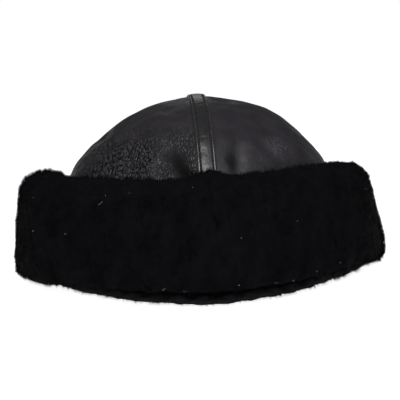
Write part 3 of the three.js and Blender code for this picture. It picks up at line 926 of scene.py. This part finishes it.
def fur(name, dark, light, depth):
    """Black wool: each tuft a little lighter or darker, with next to no gloss and a fine relief."""
    shader = Shader(name)
    tuft = shader.noise(4.5, 3.0)
    broad = shader.noise(30, 2.0)
    dimmer = shader.between(broad, 0.3, 0.7, 0.5, 1.0)
    share = shader.math("MULTIPLY", shader.between(tuft, 0.3, 0.7), dimmer)
    shader.set(
        Base_Color=shader.mixed(share, dark, light),
        Roughness=shader.between(tuft, 0.3, 0.7, 0.82, 0.95),
        Specular_IOR_Level=0.01,
        Normal=shader.bump(shader.noise(0.9, 3.0), depth),
    )
    return shader.material


def thread():
    """Waxed black thread, with its twist as fine relief."""
    shader = Shader("thread")
    twist = shader.node(
        "TexWave",
        {"Vector": shader.place, "Scale": 1 / (0.9 * MM), "Distortion": 1.0},
        wave_type="BANDS",
        bands_direction="DIAGONAL",
    ).outputs["Fac"]
    shader.set(
        Base_Color=shader.mixed(twist, (0.004, 0.004, 0.0045), (0.011, 0.0105, 0.012)),
        Roughness=shader.between(twist, 0, 1, 0.5, 0.65),
        Specular_IOR_Level=0.3,
        Normal=shader.bump(twist, 0.08),
    )
    return shader.material


def pale_thread():
    """Grey lint."""
    shader = Shader("lint")
    shade = shader.noise(0.6, 2.0)
    colour = shader.mixed(shade, (0.07, 0.07, 0.073), (0.14, 0.14, 0.147))
    shader.set(Base_Color=colour, Roughness=0.9, Specular_IOR_Level=0.1)
    return shader.material


# Stage, lights and camera

def floor():
    shader = Shader("floor_white")
    tint = shader.mixed(shader.noise(400, 2.0), (0.86, 0.86, 0.86), (0.88, 0.88, 0.88))
    shader.set(Base_Color=tint, Roughness=0.8, Emission_Color=(1, 1, 1, 1), Emission_Strength=FLOOR_LIGHT)
    points = np.array([[-1, -1, 0], [1, -1, 0], [1, 1, 0], [-1, 1, 0]]) * FLOOR_HALF
    mesh = mesh_from_arrays("floor", points, np.array([[0, 1, 2, 3]]))
    mesh.materials.append(shader.material)
    ground = bpy.data.objects.new("floor", mesh)
    bpy.context.scene.collection.objects.link(ground)


def world():
    """A white horizon all round, under a dimmer ceiling."""
    made = bpy.data.worlds.new("studio")
    bpy.context.scene.world = made
    made.use_nodes = True
    nodes, links = made.node_tree.nodes, made.node_tree.links
    background = nodes["Background"]
    direction = nodes.new("ShaderNodeTexCoord").outputs["Generated"]
    parts = nodes.new("ShaderNodeSeparateXYZ")
    links.new(direction, parts.inputs[0])
    share = nodes.new("ShaderNodeMapRange")
    share.interpolation_type = "SMOOTHSTEP"
    links.new(parts.outputs["Z"], share.inputs["Value"])
    share.inputs["From Min"].default_value = HORIZON_TOP
    share.inputs["From Max"].default_value = CEILING_FROM
    share.inputs["To Min"].default_value = HORIZON_LIGHT
    share.inputs["To Max"].default_value = CEILING_LIGHT
    links.new(share.outputs[0], background.inputs["Strength"])
    background.inputs["Color"].default_value = (1, 1, 1, 1)


def softbox(name, azimuth, elevation, distance, side, watts):
    """A square area light that faces the middle of the cap. Azimuth 0 is the front, 90 the right."""
    turn, rise = math.radians(azimuth), math.radians(elevation)
    level = math.cos(rise)
    away = Vector((math.sin(turn) * level, -math.cos(turn) * level, math.sin(rise)))
    data = bpy.data.lights.new(name, "AREA")
    data.size = side
    data.energy = watts
    light = bpy.data.objects.new(name, data)
    light.location = Vector(LIGHT_AIM) + away * distance
    light.rotation_mode = "QUATERNION"
    light.rotation_quaternion = away.to_track_quat("Z", "Y")
    bpy.context.scene.collection.objects.link(light)


def camera():
    forward, across, upward = camera_axes()
    data = bpy.data.cameras.new("photo_camera")
    data.lens = LENS
    data.sensor_width = SENSOR
    data.clip_start = 0.01
    data.clip_end = 50
    seen = bpy.data.objects.new("photo_camera", data)
    turned = Matrix((across, upward, -forward)).transposed().to_4x4()
    seen.matrix_world = Matrix.Translation(CAMERA_PLACE) @ turned
    bpy.context.scene.collection.objects.link(seen)
    bpy.context.scene.camera = seen


# The cap

crown_leather = leather(
    "crown_leather",
    dark=(0.002, 0.0019, 0.0021),
    light=(0.12, 0.11, 0.13),
    cell=1.3,
    grain=0.35,
    roughness=0.42,
    gloss=0.08,
)
strap_leather = leather(
    "strap_leather",
    dark=(0.009, 0.0085, 0.0092),
    light=(0.02, 0.019, 0.021),
    cell=0.9,
    grain=0.05,
    roughness=0.31,
    gloss=0.22,
)
burnished_edge = leather(
    "burnished_edge",
    dark=(0.012, 0.0115, 0.0125),
    light=(0.03, 0.0285, 0.0315),
    cell=0.9,
    grain=0.03,
    roughness=0.3,
    gloss=0.5,
)
skins = [crown_leather, suede()]
cuff_wool = fur("cuff_wool", (0.0022, 0.00205, 0.0024), (0.003, 0.0028, 0.0033), 0.12)
# The lining's wool is painted about three times lighter than the cuff's, as painted light in the shade
# under the cuff
lining_wool_painted_light = fur("lining_wool_painted_light", (0.0062, 0.0058, 0.0067), (0.0096, 0.009, 0.0104), 0.15)
crown_panel("crown_shell_right", -np.pi / 2, 1, "crown_right", skins)
crown_panel("crown_shell_left", np.pi / 2, -1, "crown_left", skins)
course = strap_line(STRAP_STATIONS)
strap(course, [strap_leather, sewn_line_painted_shade(), burnished_edge])
strap_stitches(course, thread())

# The cuff's pile leaves out its skin side, which lies on the crown
mesh, points, normals = fur_surface("cuff", FUR_VOXEL, 2)
direction, out = outward_from_crown(points)
facing = (normals * direction).sum(1)
free = (facing > SKIN_FACING) & ((out > CROWN_REACH * MM) | (normals[:, 2] > TOP_FACING))
pile_pieces(
    "cuff_pile",
    points[free],
    normals[free],
    each=CUFF_FIBRES,
    sectors=CUFF_SECTORS,
    material=cuff_wool,
    seed=CUFF_SEED,
)
lint(surface_tree(mesh), pale_thread())
hide_piece("cuff_hide", mesh, points, normals, cuff_wool, "cuff")

# The lining's pile leaves out what lies against the crown above the hem's roll
mesh, points, normals = fur_surface("lining_band", FUR_VOXEL * LINING_VOXEL, 1)
direction, _ = outward_from_crown(points)
facing = (normals * direction).sum(1)
free = (points[:, 2] <= (ROLL_TOP + CROWN_REACH) * MM) | (facing <= BAND_FACING)
pile_pieces(
    "lining_pile",
    points[free],
    normals[free],
    each=LINING_FIBRES,
    sectors=LINING_SECTORS,
    material=lining_wool_painted_light,
    seed=LINING_SEED,
)
hide_piece("lining_hide", mesh, points, normals, lining_wool_painted_light, "lining_band")

floor()
world()
for row in SOFTBOXES:
    softbox(*row)
camera()
bpy.context.scene.view_settings.view_transform = "Standard"
